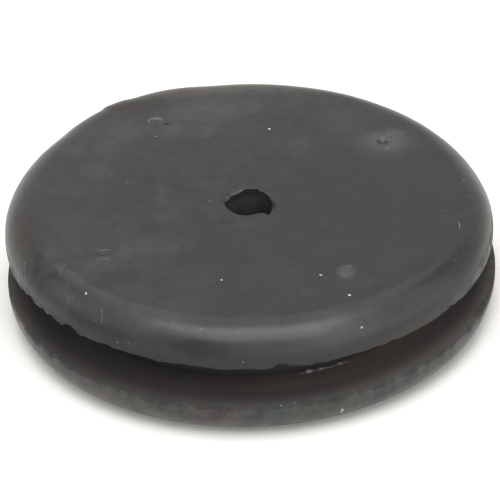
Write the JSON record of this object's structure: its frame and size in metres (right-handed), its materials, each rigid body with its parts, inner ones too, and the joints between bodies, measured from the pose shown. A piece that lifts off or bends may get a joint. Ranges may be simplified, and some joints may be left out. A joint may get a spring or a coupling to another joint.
{
  "type": "rubber grommet",
  "caption": "Round black rubber grommet with flanges above and below a deep panel groove and a small torn-mouthed cable hole through its middle.",
  "frame": {"origin": "centre of the face that the grommet rests on", "axes": "+Z along the groove's axis, away from the resting face; +X to the right in the front view, +Y to the back"},
  "size_m": [0.0322, 0.0322, 0.0082],
  "materials": {
    "rubber": "matt moulded black rubber with a pale bloom and specks of dust",
    "dust": "pale grains of dust and threads of lint that lie on the rubber"
  },
  "bodies": {
    "root": {"grommet": "rubber"}
  },
  "joints": []
}
